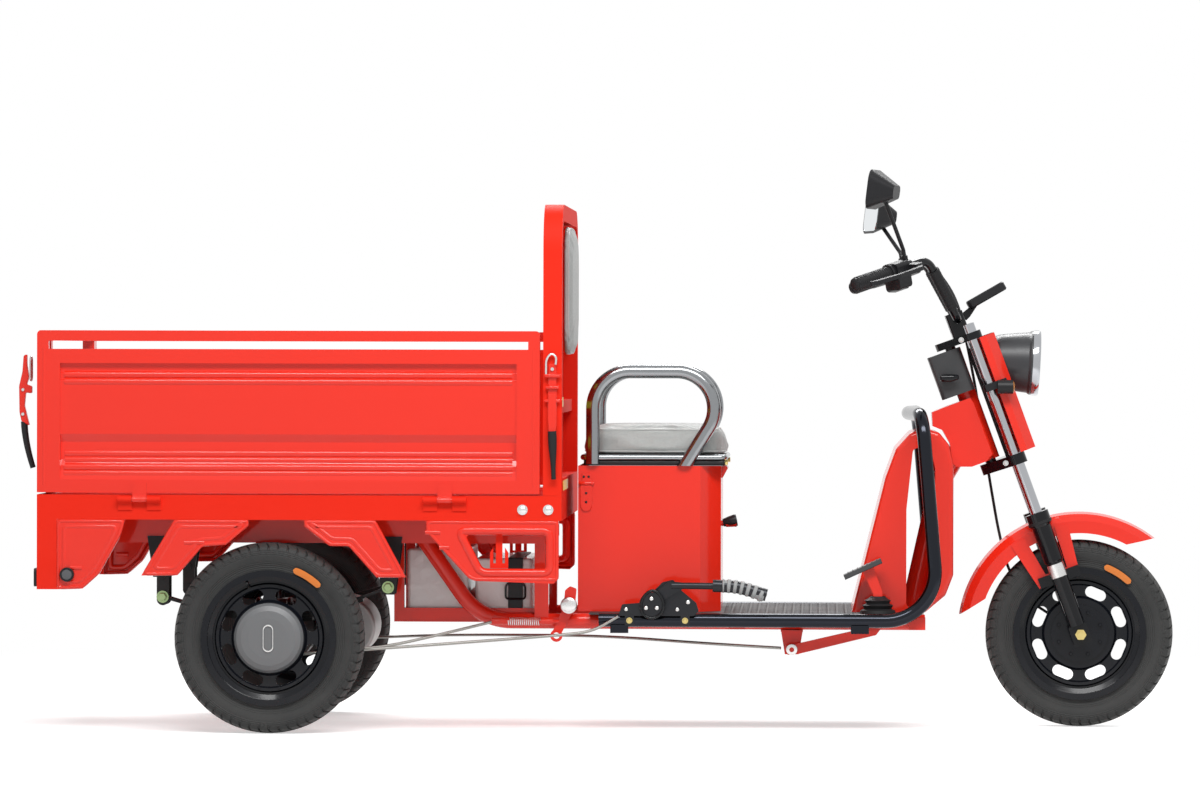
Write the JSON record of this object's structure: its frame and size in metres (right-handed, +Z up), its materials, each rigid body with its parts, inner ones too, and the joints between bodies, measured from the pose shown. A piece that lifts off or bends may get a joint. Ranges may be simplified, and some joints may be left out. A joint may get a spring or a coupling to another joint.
{
  "type": "electric cargo tricycle",
  "caption": "Three-wheeled electric cargo vehicle with a drop-side load bed behind a seat box, a flat foot well and a raked front fork.",
  "frame": {"origin": "on the ground under the middle of the overall box", "axes": "+X towards the front wheel, +Y to the driver's left, +Z up"},
  "size_m": [2.8059, 0.9446, 1.3664],
  "materials": {
    "red_paint": "gloss",
    "black_paint": "gloss",
    "dark_steel": "satin",
    "armrest_steel": "satin",
    "dark_chrome": "polished",
    "tyre_rubber": "matte",
    "wheel_black": "gloss",
    "cap_grey": "satin",
    "black_plastic": "satin",
    "black_rubber": "matte",
    "lens": "polished",
    "amber": "gloss",
    "grey_vinyl": "satin",
    "deck_steel": "satin",
    "wrap": "satin",
    "cast": "cast",
    "zinc": "satin"
  },
  "bodies": {
    "chassis": {"bed_frame": "red_paint", "bed_bearers": "red_paint", "bed_deck": "red_paint", "headboard": "red_paint", "backrest_plate": "red_paint", "backrest_cushion": "grey_vinyl", "front_latches": "black_paint", "skirt_panels": "red_paint", "side_markers": "black_plastic", "leaf_springs": "black_paint", "rear_axle": "black_paint", "drive_motor": "cast", "floor_frame": "red_paint", "controller_box": "wrap", "battery": "wrap", "floor_plate": "deck_steel", "leg_loop": "black_paint", "leg_shield": "red_paint", "neck": "red_paint", "lock_box": "black_plastic", "seat_box": "red_paint", "hand_brake": "dark_steel", "brake_pedal": "red_paint", "pedal_boot": "black_rubber", "park_lever": "red_paint", "brake_cables": "zinc"},
    "steering": {"fork_yokes": "black_paint", "fork_stanchions": "dark_chrome", "fork_sliders": "black_paint", "front_axle": "zinc", "mudguard": "red_paint", "front_panel": "red_paint", "headlight": "dark_steel", "headlight_lens": "lens", "indicators": "amber", "handlebar": "black_paint", "hand_controls": "black_plastic", "mirrors": "black_plastic", "display": "black_plastic", "front_brake_cable": "black_rubber"},
    "front_wheel": {"front_tyre": "tyre_rubber", "front_rim": "wheel_black"},
    "rear_left_wheel": {"rear_left_tyre": "tyre_rubber", "rear_left_rim": "wheel_black", "rear_left_cap": "cap_grey"},
    "rear_right_wheel": {"rear_right_tyre": "tyre_rubber", "rear_right_rim": "wheel_black", "rear_right_cap": "cap_grey"},
    "right_side_gate": {"side_gate_right": "red_paint"},
    "left_side_gate": {"side_gate_left": "red_paint"},
    "tail_board": {"tailgate": "red_paint", "tail_latches": "black_paint"},
    "seat": {"seat_frame": "armrest_steel", "seat_cushion": "grey_vinyl"}
  },
  "joints": [
    {"name": "steering_turn", "type": "hinge", "parent": "chassis", "child": "steering", "pos_m": [1.11562, 0, 0.21048], "axis": [-0.342, 0, 0.9397], "range_deg": [-40, 40]},
    {"name": "front_wheel_spin", "type": "hinge", "parent": "steering", "child": "front_wheel", "pos_m": [1.172, 0, 0.231], "axis": [0, 1, 0], "continuous": true},
    {"name": "rear_left_wheel_spin", "type": "hinge", "parent": "chassis", "child": "rear_left_wheel", "pos_m": [-0.798, 0.395, 0.231], "axis": [0, 1, 0], "continuous": true},
    {"name": "rear_right_wheel_spin", "type": "hinge", "parent": "chassis", "child": "rear_right_wheel", "pos_m": [-0.798, -0.395, 0.231], "axis": [0, 1, 0], "continuous": true},
    {"name": "right_gate_drop", "type": "hinge", "parent": "chassis", "child": "right_side_gate", "pos_m": [-0.75, -0.4585, 0.566], "axis": [1, 0, 0], "range_deg": [0, 175]},
    {"name": "left_gate_drop", "type": "hinge", "parent": "chassis", "child": "left_side_gate", "pos_m": [-0.75, 0.4585, 0.566], "axis": [-1, 0, 0], "range_deg": [0, 175]},
    {"name": "tail_board_drop", "type": "hinge", "parent": "chassis", "child": "tail_board", "pos_m": [-1.3655, 0, 0.566], "axis": [0, -1, 0], "range_deg": [0, 150]},
    {"name": "seat_lift", "type": "hinge", "parent": "chassis", "child": "seat", "pos_m": [0.297, 0, 0.637], "axis": [0, 1, 0], "range_deg": [0, 60]}
  ]
}
